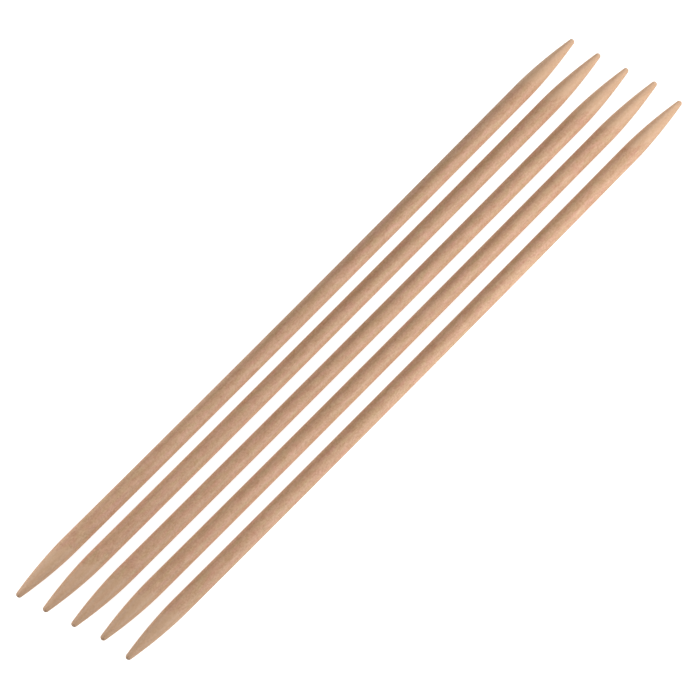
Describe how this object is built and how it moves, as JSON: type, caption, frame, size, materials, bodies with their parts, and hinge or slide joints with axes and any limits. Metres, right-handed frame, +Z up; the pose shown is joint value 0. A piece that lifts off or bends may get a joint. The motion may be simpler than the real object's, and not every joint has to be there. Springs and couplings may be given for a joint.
{
  "type": "double-pointed knitting needles",
  "caption": "Set of slim straight wooden knitting needles, pointed at both ends and lying side by side, for knitting in the round.",
  "frame": {"origin": "middle of the row of needles, on the surface that they lie on", "axes": "+X along the needles, +Y across the row towards needle_1, +Z up"},
  "size_m": [0.1562, 0.0262, 0.0035],
  "materials": {
    "needle_wood": "bare wood, sanded and lightly waxed to a satin"
  },
  "bodies": {
    "needle_3": {"needle_3": "needle_wood"},
    "needle_1": {"needle_1": "needle_wood"},
    "needle_2": {"needle_2": "needle_wood"},
    "needle_4": {"needle_4": "needle_wood"},
    "needle_5": {"needle_5": "needle_wood"}
  },
  "joints": [
    {"name": "needle_1_lift", "type": "slide", "parent": "needle_3", "child": "needle_1", "axis": [0, 0, 1], "range_m": [0, 0.04]},
    {"name": "needle_2_lift", "type": "slide", "parent": "needle_3", "child": "needle_2", "axis": [0, 0, 1], "range_m": [0, 0.04]},
    {"name": "needle_4_lift", "type": "slide", "parent": "needle_3", "child": "needle_4", "axis": [0, 0, 1], "range_m": [0, 0.04]},
    {"name": "needle_5_lift", "type": "slide", "parent": "needle_3", "child": "needle_5", "axis": [0, 0, 1], "range_m": [0, 0.04]}
  ]
}
